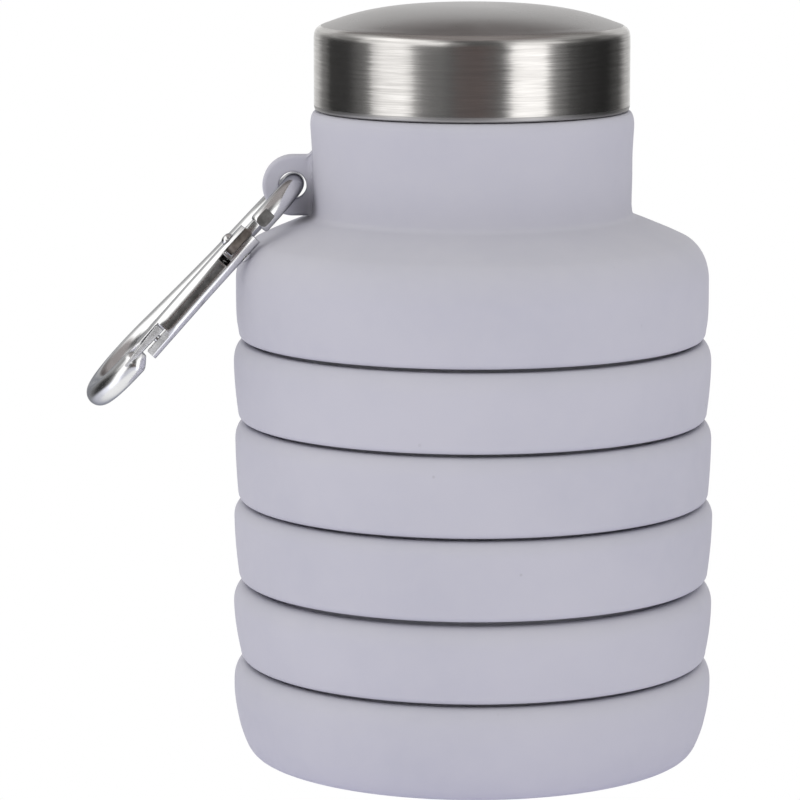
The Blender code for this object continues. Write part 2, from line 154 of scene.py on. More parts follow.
def skin(sections, closed=False, caps=True):
    """Joins a row of equal loops of 3D points into one surface."""
    bm = bmesh.new()
    rings = [[bm.verts.new(p) for p in sec] for sec in sections]
    pairs = list(zip(rings, rings[1:]))
    if closed:
        pairs.append((rings[-1], rings[0]))
    for one, two in pairs:
        n = len(one)
        for i in range(n):
            bm.faces.new((one[i], one[(i + 1) % n], two[(i + 1) % n], two[i]))
    if caps and not closed:
        bm.faces.new(list(reversed(rings[0])))
        bm.faces.new(rings[-1])
    bmesh.ops.recalc_face_normals(bm, faces=bm.faces)
    return bm


def merged(*parts):
    """One bmesh from several closed ones."""
    out = bmesh.new()
    for part in parts:
        me = bpy.data.meshes.new("part")
        part.to_mesh(me)
        part.free()
        out.from_mesh(me)
        bpy.data.meshes.remove(me)
    return out


def carve(base, tools, bevel=0.0, steps=2, limit=35.0):
    """Cuts or adds closed bmeshes with exact Booleans, then rounds the edges a little. All in millimetres."""
    made = []

    def temp(bm, name):
        bmesh.ops.recalc_face_normals(bm, faces=bm.faces)
        me = bpy.data.meshes.new(name)
        bm.to_mesh(me)
        bm.free()
        ob = link(name, me)
        made.append(ob)
        return ob

    body = temp(base, "carve_base")
    for i, (bm, operation) in enumerate(tools):
        mod = body.modifiers.new("cut%d" % i, "BOOLEAN")
        mod.operation = operation
        mod.solver = "EXACT"
        mod.object = temp(bm, "carve_tool%d" % i)
    if bevel:
        weld = body.modifiers.new("weld", "WELD")
        weld.merge_threshold = 0.0005
        mod = body.modifiers.new("bevel", "BEVEL")
        mod.width = bevel
        mod.segments = steps
        mod.limit_method = "ANGLE"
        mod.angle_limit = math.radians(limit)
        mod.use_clamp_overlap = True
    bpy.context.view_layer.update()
    dg = bpy.context.evaluated_depsgraph_get()
    me = bpy.data.meshes.new_from_object(body.evaluated_get(dg))
    out = bmesh.new()
    out.from_mesh(me)
    bpy.data.meshes.remove(me)
    for ob in made:
        me = ob.data
        bpy.data.objects.remove(ob)
        bpy.data.meshes.remove(me)
    return out


def brick(lo, hi):
    bm = bmesh.new()
    bmesh.ops.create_cube(bm, size=1.0)
    size = [b - a for a, b in zip(lo, hi)]
    mid = [(a + b) / 2 for a, b in zip(lo, hi)]
    bmesh.ops.transform(bm, matrix=Matrix.Translation(mid) @ Matrix.Diagonal((*size, 1.0)), verts=bm.verts)
    return bm


def bar(radius, length, place=Matrix.Identity(4), seg=32):
    bm = bmesh.new()
    bmesh.ops.create_cone(bm, cap_ends=True, cap_tris=False, segments=seg, radius1=radius, radius2=radius,
                          depth=length, matrix=place)
    return bm


def plate(outline, lo, hi):
    """A flat outline in (x, y) given a thickness from lo to hi along z."""
    return skin([[(x, y, z) for x, y in outline] for z in (lo, hi)])


# ------------------------------------------------------------------ material helpers
class Nodes:
    """A small builder for a node material on a Principled shader."""

    def __init__(self, name):
        self.mat = bpy.data.materials.new(name)
        self.mat.use_nodes = True
        self.tree = self.mat.node_tree
        self.bsdf = self.tree.nodes["Principled BSDF"]
        self.at = self.add("ShaderNodeTexCoord").outputs["Object"]

    def add(self, kind, **props):
        n = self.tree.nodes.new(kind)
        for k, v in props.items():
            setattr(n, k, v)
        return n

    def wire(self, a, b):
        self.tree.links.new(a, b)

    def scaled(self, scale, turn=(0, 0, 0)):
        n = self.add("ShaderNodeMapping")
        n.inputs["Scale"].default_value = scale
        n.inputs["Rotation"].default_value = turn
        self.wire(self.at, n.inputs["Vector"])
        return n.outputs["Vector"]

    def noise(self, scale, detail=3.0, rough=0.5, vector=None, warp=0.0):
        n = self.add("ShaderNodeTexNoise")
        n.inputs["Scale"].default_value = scale
        n.inputs["Detail"].default_value = detail
        n.inputs["Roughness"].default_value = rough
        n.inputs["Distortion"].default_value = warp
        self.wire(vector or self.at, n.inputs["Vector"])
        return n.outputs["Fac"]

    def span(self, value, a, b, c, d, kind="LINEAR"):
        """Maps a..b to c..d."""
        n = self.add("ShaderNodeMapRange", interpolation_type=kind)
        for key, v in (("From Min", a), ("From Max", b), ("To Min", c), ("To Max", d)):
            n.inputs[key].default_value = v
        self.wire(value, n.inputs["Value"])
        return n.outputs["Result"]

    def sums(self, op, a, b):
        n = self.add("ShaderNodeMath", operation=op)
        for i, v in enumerate((a, b)):
            if isinstance(v, (int, float)):
                n.inputs[i].default_value = v
            else:
                self.wire(v, n.inputs[i])
        return n.outputs[0]

    def mix(self, fac, a, b):
        n = self.add("ShaderNodeMix", data_type="RGBA")
        if isinstance(fac, (int, float)):
            n.inputs[0].default_value = fac
        else:
            self.wire(fac, n.inputs[0])
        for i, v in ((6, a), (7, b)):
            if isinstance(v, tuple):
                n.inputs[i].default_value = (*v, 1.0)
            else:
                self.wire(v, n.inputs[i])
        return n.outputs[2]

    def bump(self, height, strength, distance, under=None):
        n = self.add("ShaderNodeBump")
        n.inputs["Strength"].default_value = strength
        n.inputs["Distance"].default_value = distance
        self.wire(height, n.inputs["Height"])
        if under:
            self.wire(under, n.inputs["Normal"])
        return n.outputs["Normal"]

    def done(self, color=None, rough=None, normal=None, **fixed):
        for socket, value in (("Base Color", color), ("Roughness", rough), ("Normal", normal)):
            if value is None:
                continue
            if isinstance(value, tuple):
                self.bsdf.inputs[socket].default_value = (*value, 1.0)
            elif isinstance(value, (int, float)):
                self.bsdf.inputs[socket].default_value = value
            else:
                self.wire(value, self.bsdf.inputs[socket])
        for key, value in fixed.items():
            self.bsdf.inputs[key.replace("_", " ")].default_value = value
        return self.mat


# ------------------------------------------------------------------ materials
def silicone_material():
    m = Nodes("silicone_lilac_grey")
    cloud = m.noise(34.0, 3.0, 0.55)                 # broad, faint clouding from the moulding
    fine = m.noise(420.0, 2.0, 0.5)
    base = m.mix(m.span(cloud, 0.34, 0.66, 0.0, 1.0), (0.452, 0.447, 0.519), (0.486, 0.478, 0.546))
    base = m.mix(m.span(fine, 0.3, 0.7, 0.0, 0.22), base, (0.505, 0.494, 0.552))
    specks = m.add("ShaderNodeTexVoronoi", feature="F1")   # a few dust specks in the surface
    specks.inputs["Scale"].default_value = 210.0
    m.wire(m.at, specks.inputs["Vector"])
    hit = m.span(specks.outputs["Distance"], 0.035, 0.075, 1.0, 0.0, "SMOOTHSTEP")
    few = m.span(m.noise(95.0, 1.0, 0.5), 0.62, 0.66, 0.0, 1.0)
    base = m.mix(m.sums("MULTIPLY", m.sums("MULTIPLY", hit, few), 0.35), base, (0.26, 0.245, 0.27))
    tab_corner_painted_shade = m.add("ShaderNodeVectorMath", operation="DISTANCE")   # painted shade: the colour darkens towards the corner where the tab meets the neck, where shadow falls
    m.wire(m.at, tab_corner_painted_shade.inputs[0])
    tab_corner_painted_shade.inputs[1].default_value = (-0.0247, -0.0026, 0.0862)
    # painted shade: mixes the silicone towards dark grey near the tab's root
    base = m.mix(m.span(tab_corner_painted_shade.outputs["Value"], 0.0006, 0.0056, 0.72, 0.0, "SMOOTHSTEP"), base, (0.09, 0.085, 0.098))
    skin_grain = m.noise(5200.0, 2.0, 0.6)           # matt skin left by the blasted mould
    peel = m.noise(900.0, 2.0, 0.5)
    normal = m.bump(skin_grain, 0.35, 0.000018)
    normal = m.bump(peel, 0.3, 0.00003, normal)
    rough = m.span(m.noise(60.0, 3.0, 0.6), 0.3, 0.7, 0.58, 0.7)
    return m.done(base, rough, normal, Specular_IOR_Level=0.42, IOR=1.43, Subsurface_Weight=0.06,
                  Subsurface_Radius=(1.0, 0.9, 1.0), Subsurface_Scale=0.0012)


def brushed_material():
    """Steel brushed round the side: fine streaks along the circumference."""
    m = Nodes("steel_brushed_side")
    hair = m.noise(1.0, 3.0, 0.62, m.scaled((130.0, 130.0, 5200.0)))
    band = m.noise(1.0, 2.0, 0.5, m.scaled((60.0, 60.0, 1500.0)))
    long = m.noise(1.0, 2.0, 0.5, m.scaled((170.0, 170.0, 9000.0)))
    lean = m.noise(1.0, 2.0, 0.6, m.scaled((110.0, 110.0, 3600.0)))
    mixed = m.sums("ADD", m.sums("MULTIPLY", hair, 0.6), m.sums("MULTIPLY", band, 0.4))
    base = m.mix(m.span(mixed, 0.36, 0.64, 0.0, 1.0), (0.52, 0.506, 0.492), (0.72, 0.704, 0.688))
    rough = m.span(mixed, 0.35, 0.65, 0.22, 0.17)
    tangent = m.add("ShaderNodeTangent", direction_type="RADIAL", axis="Z")
    # the hairs lean a little along the turn, so that a window's edge looks jagged from hair to hair
    sway = m.add("ShaderNodeVectorMath", operation="SCALE")
    m.wire(tangent.outputs["Tangent"], sway.inputs[0])
    m.wire(m.span(lean, 0.25, 0.75, -0.02, 0.02), sway.inputs["Scale"])
    face = m.add("ShaderNodeNewGeometry")
    tilt = m.add("ShaderNodeVectorMath", operation="ADD")
    m.wire(face.outputs["Normal"], tilt.inputs[0])
    m.wire(sway.outputs[0], tilt.inputs[1])
    unit = m.add("ShaderNodeVectorMath", operation="NORMALIZE")
    m.wire(tilt.outputs[0], unit.inputs[0])
    normal = m.bump(long, 0.4, 0.0000012, unit.outputs[0])
    normal = m.bump(hair, 0.4, 0.0000025, normal)
    mat = m.done(base, rough, normal, Metallic=1.0, Anisotropic=0.82, Anisotropic_Rotation=0.25)
    m.wire(tangent.outputs["Tangent"], m.bsdf.inputs["Tangent"])
    return mat


def satin_material():
    """The lid's domed top: an even satin with a faint cloud."""
    m = Nodes("steel_satin_top")
    grain = m.noise(3800.0, 3.0, 0.6)
    cloud = m.noise(150.0, 3.0, 0.55)
    hair = m.noise(1.0, 3.0, 0.6, m.scaled((90.0, 5200.0, 90.0), (0, 0, 0.35)))
    base = m.mix(m.span(cloud, 0.35, 0.65, 0.0, 1.0), (0.52, 0.51, 0.51), (0.58, 0.57, 0.57))
    rough = m.sums("ADD", m.span(cloud, 0.3, 0.7, 0.27, 0.33), m.span(grain, 0.3, 0.7, -0.02, 0.03))
    normal = m.bump(grain, 0.35, 0.000006)
    normal = m.bump(hair, 0.25, 0.000003, normal)
    return m.done(base, rough, normal, Metallic=1.0)


def hem_material():
    """The lid's rolled lower edge: a duller, softer grey."""
    m = Nodes("steel_rolled_hem")
    cloud = m.noise(220.0, 3.0, 0.55)
    hair = m.noise(1.0, 3.0, 0.6, m.scaled((130.0, 130.0, 5200.0)))
    base = m.mix(m.span(hair, 0.36, 0.64, 0.0, 1.0), (0.4, 0.392, 0.385), (0.48, 0.47, 0.462))
    normal = m.bump(hair, 0.3, 0.000003)
    mat = m.done(base, m.span(cloud, 0.3, 0.7, 0.36, 0.42), normal, Metallic=1.0, Anisotropic=0.55,
                 Anisotropic_Rotation=0.25)
    tangent = m.add("ShaderNodeTangent", direction_type="RADIAL", axis="Z")
    m.wire(tangent.outputs["Tangent"], m.bsdf.inputs["Tangent"])
    return mat


def polished_material(name="polished_metal", lo=(0.86, 0.86, 0.865), hi=(0.92, 0.92, 0.925), rough=(0.14, 0.24)):
    m = Nodes(name)
    cloud = m.noise(260.0, 3.0, 0.6)
    scratch = m.noise(1.0, 4.0, 0.7, m.scaled((900.0, 900.0, 5200.0), (0.0, 0.76, 0.0)))
    dents = m.noise(650.0, 2.0, 0.5)
    base = m.mix(m.span(cloud, 0.35, 0.65, 0.0, 1.0), lo, hi)
    r = m.span(scratch, 0.3, 0.72, rough[0], rough[1])
    normal = m.bump(dents, 0.3, 0.000012)
    normal = m.bump(scratch, 0.3, 0.000003, normal)
    return m.done(base, r, normal, Metallic=1.0, Specular_Tint=(0.3, 0.31, 0.34, 1.0))


def unpolished_painted_dark_material():
    """Unpolished metal, its colour darkened as painted shade inside the gate's groove and slots; the same dark colour
    is a painted dark reflection on the rod's pressed flat.
    """
    m = Nodes("metal_unpolished_painted_dark")
    cloud = m.noise(700.0, 4.0, 0.65)
    grain = m.noise(4200.0, 3.0, 0.6)
    base = m.mix(m.span(cloud, 0.35, 0.65, 0.0, 1.0), (0.15, 0.145, 0.14), (0.27, 0.265, 0.26))
    normal = m.bump(grain, 0.5, 0.00001)
    return m.done(base, m.span(grain, 0.3, 0.7, 0.42, 0.6), normal, Metallic=0.85)


def tongue_material():
    """The tongue at the pivot end of the hook's rod: unpolished and a little brownish."""
    m = Nodes("metal_tongue")
    cloud = m.noise(900.0, 4.0, 0.65)
    base = m.mix(m.span(cloud, 0.35, 0.65, 0.0, 1.0), (0.135, 0.115, 0.1), (0.235, 0.205, 0.185))
    normal = m.bump(m.noise(3600.0, 3.0, 0.6), 0.4, 0.000008)
    return m.done(base, m.span(cloud, 0.3, 0.7, 0.4, 0.55), normal, Metallic=0.8)


def worn_material():
    """Stamped and tumbled parts by the gate's free end: a pale, finely pitted satin."""
    m = Nodes("metal_worn_satin")
    cloud = m.noise(620.0, 4.0, 0.6)
    pits = m.noise(2600.0, 3.0, 0.65)
    base = m.mix(m.span(cloud, 0.35, 0.65, 0.0, 1.0), (0.62, 0.62, 0.63), (0.8, 0.8, 0.81))
    base = m.mix(m.span(pits, 0.56, 0.72, 0.0, 0.5), base, (0.3, 0.3, 0.31))
    normal = m.bump(pits, 0.5, 0.00001)
    return m.done(base, m.span(cloud, 0.3, 0.7, 0.34, 0.46), normal, Metallic=0.7)


def plastic_material():
    m = Nodes("plastic_off_white")
    cloud = m.noise(45.0, 3.0, 0.5)
    fine = m.noise(2600.0, 3.0, 0.6)
    base = m.mix(m.span(cloud, 0.35, 0.65, 0.0, 1.0), (0.74, 0.74, 0.725), (0.81, 0.81, 0.795))
    normal = m.bump(fine, 0.25, 0.000012)
    return m.done(base, m.span(m.noise(120.0, 3.0, 0.5), 0.3, 0.7, 0.34, 0.46), normal, Specular_IOR_Level=0.5,
                  Subsurface_Weight=0.08, Subsurface_Scale=0.001)


def seal_material():
    m = Nodes("seal_clear_silicone")
    cloud = m.noise(160.0, 3.0, 0.5)
    base = m.mix(m.span(cloud, 0.35, 0.65, 0.0, 1.0), (0.76, 0.76, 0.74), (0.86, 0.86, 0.84))
    normal = m.bump(m.noise(3000.0, 2.0, 0.5), 0.3, 0.000012)
    return m.done(base, m.span(m.noise(90.0, 2.0, 0.5), 0.3, 0.7, 0.42, 0.55), normal, Subsurface_Weight=0.25,
                  Subsurface_Scale=0.002)


SILICONE = silicone_material()
BRUSHED = brushed_material()
SATIN = satin_material()
POLISHED = polished_material()
UNPOLISHED_PAINTED_DARK = unpolished_painted_dark_material()
TONGUE = tongue_material()
WORN = worn_material()
HEM = hem_material()
PLASTIC = plastic_material()
SEAL = seal_material()

# ------------------------------------------------------------------ silicone rings
# Each ring: crown radius, crown rounding (across, down), foot radius, foot rounding (across, up).
RINGS = {
    1: (37.20, (1.55, 3.1), 36.60, (0.86, 1.15)),
    2: (37.19, (1.55, 2.6), 36.80, (0.86, 1.15)),
    3: (37.45, (1.75, 2.2), 36.80, (0.86, 1.15)),
    4: (37.52, (2.20, 3.0), 36.62, (0.86, 1.15)),
}
# A folded soft body never stacks quite straight: each ring sits a little off the axis, (height, offset towards +X).
DRIFT = [(0.0, 0.15), (15.4, 0.28), (16.0, 0.44), (27.7, 0.26), (28.6, 0.38), (40.7, 0.38), (41.2, 0.35), (53.3, 0.34),
         (53.8, 0.21), (65.9, 0.19), (66.5, 0.14), (84.0, 0.14), (88.0, 0.1), (102.0, 0.06)]


def drift(z):
    if z <= DRIFT[0][0]:
        return DRIFT[0][1]
    for (z0, d0), (z1, d1) in zip(DRIFT, DRIFT[1:]):
        if z <= z1:
            return d0 + (d1 - d0) * (z - z0) / (z1 - z0)
    return DRIFT[-1][1]


def settled(bm):
    for v in bm.verts:
        v.co.x += drift(v.co.z)
    return bm


def ring_profile(zt, zb, crown_r, crown, foot_r, foot):
    cw, ch = crown
    fw, fh = foot
    out = arc(WALL_R + 0.8, zt - 0.8, 0.8, 0.8, 180, 90, 4)[:-1]
    out += [(WALL_R + 0.8, zt)] if crown_r - cw > WALL_R + 0.9 else []
    out += arc(crown_r - cw, zt - ch, cw, ch, 90, 0, 9)
    z0, z1 = zt - ch, zb + fh
    for i in range(1, 7):
        u = i / 7
        out.append((crown_r - (crown_r - foot_r) * u ** 1.8, z0 + (z1 - z0) * u))
    out += arc(foot_r - fw, zb + fh, fw, fh, 0, -90, 6)
    out += arc(WALL_R + 0.8, zb + 0.8, 0.8, 0.8, 270, 180, 4)
    return smooth(out, 0.35, loop=True)


for n, (crown_r, crown, foot_r, foot) in RINGS.items():
    bm = settled(lathe(ring_profile(SEAMS[n][0], SEAMS[n + 1][1], crown_r, crown, foot_r, foot)))
    piece("silicone_ring_%d" % n, bm, [SILICONE], "ring%d" % n, ["ring_%d" % n])

# base cup: crown, gently curved side, tight foot, flat underside with a shallow moulded ring
zt = SEAMS[5][0]
side = arc(WALL_R + 0.8, zt - 0.8, 0.8, 0.8, 180, 90, 4) + arc(35.6, zt - 3.0, 1.86, 3.0, 90, 0, 9)
side += [(37.44, 10.5), (37.33, 9.5), (37.12, 8.0), (36.82, 6.5), (36.46, 5.0), (36.05, 3.8), (35.66, 2.8),
         (35.2, 1.9), (34.55, 1.15), (33.6, 0.72), (32.3, 0.42), (31.0, 0.18), (29.85, 0.0)]
outer = smooth(side, 0.4)
under = [(28.9, 0.0), (24.3, 0.0), (24.1, 0.05), (23.8, 0.4), (23.4, 0.5), (22.6, 0.5), (22.2, 0.4), (21.9, 0.05),
         (21.7, 0.0), (8.0, 0.0), (0.0, 0.0)]
inside = [(0.0, 3.0), (20.0, 3.0), (31.0, 3.0)] + arc(32.2, 4.8, 1.8, 1.8, -90, 0, 6) + [(34.0, 9.0)]
piece("silicone_base_cup", settled(lathe(outer + under + inside)), [SILICONE], "base", ["base_cup"])

# folding walls: two thin legs that run up and inward from a seam and meet at one crease
CREASE = (27.4, 7.4)


def leg_profile(points, thick):
    mid = [Vector(p) for p in smooth(points, 0.6)]
    a, b = [], []
    for i, p in enumerate(mid):
        d = (mid[min(i + 1, len(mid) - 1)] - mid[max(i - 1, 0)]).normalized()
        nrm = Vector((-d.y, d.x)) * thick / 2
        a.append(p + nrm)
        b.append(p - nrm)
    end = mid[-1]
    d = (mid[-1] - mid[-2]).normalized()
    nrm = Vector((-d.y, d.x))
    cap = [end + (nrm * math.cos(t) + d * math.sin(t)) * thick / 2 for t in (0.8, 1.571, 2.34)]
    return [tuple(p) for p in a] + [tuple(p) for p in cap] + [tuple(p) for p in reversed(b)]


for n in range(1, 6):
    z = FOLD_Z[n - 1]
    cr, cz = CREASE[0], z + CREASE[1]
    lower = [(34.35, z - 1.25), (33.5, z - 0.95), (32.2, z + 0.55), (28.3, z + 6.05), (27.62, z + 6.95), (cr, cz)]
    upper = [(34.35, z + 1.25), (33.5, z + 1.5), (32.0, z + 2.75), (28.6, z + 7.35), (27.9, z + 7.85), (cr, cz)]
    ob = piece("silicone_fold_%d_lower_wall" % n, settled(lathe(leg_profile(lower, 0.62), 160)), [SILICONE], None,
               ["fold_web_%d" % n])
    start = z - 1.25
    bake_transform(ob)
    ob = piece("silicone_fold_%d_upper_wall" % n, settled(lathe(leg_profile(upper, 0.62), 160)), [SILICONE], None,
               ["fold_web_%d" % n])
    start = z + 1.25
    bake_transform(ob)

# neck and shoulder
zb = SEAMS[1][1]
profile = arc(WALL_R + 0.8, zb + 0.8, 0.8, 0.8, 180, 270, 4)
profile += [(35.5, zb)] + arc(35.55, zb + 1.1, 0.82, 1.1, -75, -8, 5)
profile += [(36.46, 68.2), (36.6, 69.0), (36.7, 70.2), (36.75, 72.0), (36.75, 74.4)]
profile += arc(32.0, 75.6, 4.75, 6.57, 0, 58.2, 11)
profile += [(33.9, 81.66), (33.3, 81.97), (32.4, 82.4), (31.0, 83.02), (29.5, 83.65), (28.0, 84.27), (26.7, 84.79),
            (25.95, 85.08), (25.5, 85.27), (25.12, 85.52), (24.86, 85.88), (24.76, 86.5),
            (24.7, 87.4), (24.71, 88.6), (24.78, 91.0), (24.8, 95.0), (24.86, 96.4), (24.96, 98.1), (25.03, 99.2),
            (25.03, 100.0), (24.98, 100.5), (24.87, 100.97), (24.66, 101.42), (24.45, 101.62), (24.15, 101.74),
            (23.2, 101.76), (22.0, 101.76)] + arc(21.7, 101.26, 0.5, 0.5, 90, 180, 4)
profile += [(21.2, 96.0), (21.2, 87.2), (21.35, 86.75), (21.8, 86.6), (22.6, 86.5), (23.0, 86.2), (23.0, 83.5),
            (23.3, 82.9), (26.5, 81.2), (30.2, 79.6), (32.4, 78.3), (33.5, 76.6), (33.95, 74.6), (34.0, 72.5), (34.0, 68.4)]
piece("silicone_neck_and_shoulder", settled(lathe(smooth(profile, 0.4, loop=True))), [SILICONE], "neck", ["neck_shoulder"])

# hanging tab: a flat lug with rounded edges and a round hole, filleted into the neck
TAB_X, TAB_Z, TAB_R, TAB_HALF, TAB_HOLE = -27.7, 90.15, 4.72, 1.4, 2.15
HOLE_SHIFT = (-0.03, -0.03)                                  # the hole sits a touch towards the body


def flare(x, radius):
    """How far a fillet of this radius stands off, near the neck's wall."""
    d = min(max(-24.8 - x, 0.0), radius)
    return radius - math.sqrt(radius * radius - (radius - d) ** 2)


sections = []
TURNS = 144
for k in range(TURNS):
    a = TAU * k / TURNS
    ca, sa = math.cos(a), math.sin(a)
    if ca <= 0:
        reach = TAB_R
    else:
        reach = min(TAB_R / max(abs(sa), 1e-6), (-23.3 - TAB_X) / max(ca, 1e-6))
        for _ in range(3):
            top = TAB_R + (0.8 if sa > 0 else 0.5) / 0.8 * flare(TAB_X + reach * ca, 0.8)
            reach = min(top / max(abs(sa), 1e-6), (-23.3 - TAB_X) / max(ca, 1e-6))
    eo, ei = 0.62, 0.3
    line = [(TAB_HOLE, 0.0, 0), (TAB_HOLE, 0.5, 0)]
    line += [(TAB_HOLE + ei * (1 - math.cos(t)), 1.0, -ei * (1 - math.sin(t))) for t in [math.pi / 2 * i / 4 for i in range(5)]]
    for i in range(1, 16):
        u = i / 16
        line.append((TAB_HOLE + ei + (reach - eo - TAB_HOLE - ei) * u, 1.0, 0.0))
    line += [(reach - eo * (1 - math.sin(t)), 1.0, -eo * (1 - math.cos(t))) for t in [math.pi / 2 * i / 6 for i in range(7)]]
    line += [(reach, 0.5, 0)]
    half = []
    for rho, share, dip in line:
        near = min(1.0, max(0.0, (reach - rho) / (reach - TAB_HOLE)))
        x = TAB_X + rho * ca + near * HOLE_SHIFT[0]
        y = (TAB_HALF + flare(x, 0.7)) if share == 1.0 else share * (TAB_HALF - 0.62)
        half.append((x, y + dip, TAB_Z + rho * sa + near * HOLE_SHIFT[1]))
    loop = [(x, -y, z) for x, y, z in half] + [(half[-1][0], 0.0, half[-1][2])] + [(x, y, z) for x, y, z in reversed(half[1:])]
    sections.append(loop)
piece("silicone_hanging_tab", skin(sections, closed=True), [SILICONE], "neck", ["neck_shoulder"])


# ------------------------------------------------------------------ threaded collar, liner and gasket
def thread(root, height, bottom, inward, lead=4.5, turns=1.5):
    """A helical ridge with tapered ends; its foot is sunk into the wall that carries it."""
    steps = int(96 * turns)
    sections = []
    for i in range(steps + 1):
        a = TAU * i / 96
        fade = min(1.0, i / 14, (steps - i) / 14)
        h = max(0.06, height * math.sin(fade * math.pi / 2))
        out = Vector((math.cos(a), math.sin(a), 0))
        side = -1 if inward else 1
        w0, w1 = 0.85, 0.4
        shape = [(-0.4, -w0), (0.0, -w0), (h * 0.55, -(w0 + w1) / 2), (h * 0.9, -w1 - 0.04), (h, -w1 + 0.14),
                 (h, w1 - 0.14), (h * 0.9, w1 + 0.04), (h * 0.55, (w0 + w1) / 2), (0.0, w0), (-0.4, w0)]
        z = bottom + lead * i / 96
        sections.append([out * (root + side * p) + Vector((0, 0, z + q)) for p, q in shape])
    return skin(sections)


profile = [(17.6, 84.0), (19.8, 84.0), (22.3, 84.0), (22.6, 84.3), (22.6, 85.7), (22.4, 86.0), (20.95, 86.25),
           (20.9, 86.4), (20.9, 94.0), (20.9, 100.9), (20.7, 101.25), (19.9, 101.9), (19.55, 102.1), (19.4, 102.5),
           (19.4, 107.0), (19.4, 111.9), (19.3, 112.3), (18.95, 112.58), (18.5, 112.6), (18.05, 112.58),
           (17.7, 112.35), (17.6, 112.0), (17.6, 98.0)]
piece("mouth_collar", merged(lathe(profile, 160), thread(19.4, 1.15, 104.0, False)), [PLASTIC], "neck",
      ["neck_collar"], sharp=40)

profile = [(0.0, 115.2), (12.0, 115.05), (20.8, 114.85), (21.6, 114.5), (23.0, 112.8), (23.4, 112.2), (23.5, 111.6),
           (23.5, 106.0), (23.5, 102.9), (23.35, 102.7), (21.7, 102.7), (21.35, 102.85), (21.1, 103.2), (21.1, 108.0),
           (21.1, 113.9), (20.9, 114.3), (20.4, 114.4), (20.0, 114.4), (16.8, 114.4), (16.7, 113.7), (16.3, 113.7),
           (16.2, 114.4), (6.0, 114.4), (0.0, 114.4)]
piece("lid_inner_liner", merged(lathe(profile, 160), thread(21.1, 1.15, 106.2, True)), [PLASTIC], "lid",
      ["lid_liner"], sharp=40)

profile = smooth([(17.3, 113.05), (17.45, 112.92), (18.1, 112.9), (18.45, 112.98), (18.8, 112.9), (19.45, 112.92),
                  (19.6, 113.05), (19.6, 113.95), (19.45, 114.09), (18.45, 114.1), (17.45, 114.09), (17.3, 113.95)],
                 0.12, loop=True)
piece("lid_sealing_ring", lathe(profile, 128), [SEAL], "lid_seal", ["lid_gasket"])


# ------------------------------------------------------------------ steel lid
def dome(r):
    return 118.13 - 3.35 * (r / 23.4) ** 3


LID_R = 24.42
# a rolled hem, an upright side, a small crisp corner and a low dome
outer = [(23.7, 101.9), (24.0, 101.9), (24.16, 101.94), (24.27, 102.04), (24.34, 102.2), (24.39, 102.42), (24.415, 102.7),
         (LID_R, 103.1), (LID_R, 104.2), (LID_R, 107.0), (LID_R, 110.0), (LID_R, 112.3), (24.41, 112.8), (24.39, 113.35),
         (24.33, 113.75), (24.2, 114.1), (23.97, 114.42), (23.6, 114.7), (23.05, 114.97), (22.3, dome(22.3))]
outer += [(r, dome(r)) for r in (21.4, 20.2, 18.6, 16.6, 14.2, 11.6, 8.8, 5.8, 2.8)]
outer = smooth(outer, 0.33) + [(0.0, dome(0))]
inner = [(0.0, dome(0) - 0.6)] + [(r, dome(r) - 0.6) for r in (6.0, 12.0, 17.0, 20.5)]
inner += [(22.2, 114.6), (23.1, 114.25), (23.6, 113.65), (23.82, 113.0), (23.82, 105.0), (23.82, 102.7), (23.7, 102.4)]
piece("lid_steel_shell", lathe(outer + inner, 224), [BRUSHED, SATIN, HEM], "lid", ["lid_shell"], sharp=40,
      pick=lambda c, n: 2 if c.z < 102.62 else 1 if math.hypot(c.x, c.y) < 23.3 and n.z > 0.3 else 0)

# ------------------------------------------------------------------ snap hook
tilt = math.radians(46.9)
S = Vector((-math.cos(tilt), 0, -math.sin(tilt)))            # along the hook, away from the tab
V = Vector((0, 1, 0))                                        # from the gate side to the spine
N = S.cross(V)
O = Vector((-27.95, 0, 90.15))                               # rod's centre inside the tab's hole
HOOK = Matrix(((S.x, V.x, N.x, O.x), (S.y, V.y, N.y, O.y), (S.z, V.z, N.z, O.z), (0, 0, 0, 1)))
LENGTH, R1, R2 = 44.35, 9.8, 11.2
PIVOT, LATCH, NOSE, ROD_END = 11.86, 30.36, 34.45, 7.05
c1, c2 = R1, LENGTH - R2
splay = math.asin((R2 - R1) / (c2 - c1))


def leg(s, side):
    return Vector((s, side * (R1 * math.cos(splay) + (s - c1 + R1 * math.sin(splay)) * math.tan(splay)), 0))


def twisted(bm):
    """The bent rod isn't quite flat: towards the nose its gate side leans to the body and its spine away from it."""
    for v in bm.verts:
        v.co.z += 0.12 - v.co.y / 10.0 * (0.0225 * max(0.0, v.co.x - 17.0) - 0.08)
    return bm


path = []
REACH = 0.37                                                 # the tab end's bend is squarer and a little longer than a half circle
start = -math.acos(-((c1 - ROD_END) / (R1 + REACH)) ** (1 / 0.85))
for i in range(61):
    a = start + (-1.5 * math.pi + splay - start) * i / 60
    ca, sa = math.cos(a), math.sin(a)
    path.append(Vector((c1 + (R1 + REACH) * math.copysign(abs(ca) ** 0.85, ca), R1 * math.copysign(abs(sa) ** 0.8, sa), 0)))
for i in range(1, 20):
    path.append(leg(c1 + (c2 - c1) * i / 20, 1))
nose_end = -math.acos((NOSE - 0.95 - c2) / R2)
for i in range(61):
    a = math.pi / 2 + splay + (nose_end - math.pi / 2 - splay) * i / 60
    path.append(Vector((c2 + R2 * math.cos(a), R2 * math.sin(a), 0)))
run = [0.0]
for a, b in zip(path, path[1:]):
    run.append(run[-1] + (b - a).length)


def along(d):
    """Point on the hook's centre line at a distance from its tab end."""
    d = min(max(d, 0.0), run[-1])
    for i in range(len(run) - 1):
        if run[i + 1] >= d:
            return path[i].lerp(path[i + 1], (d - run[i]) / (run[i + 1] - run[i]))
    return path[-1]


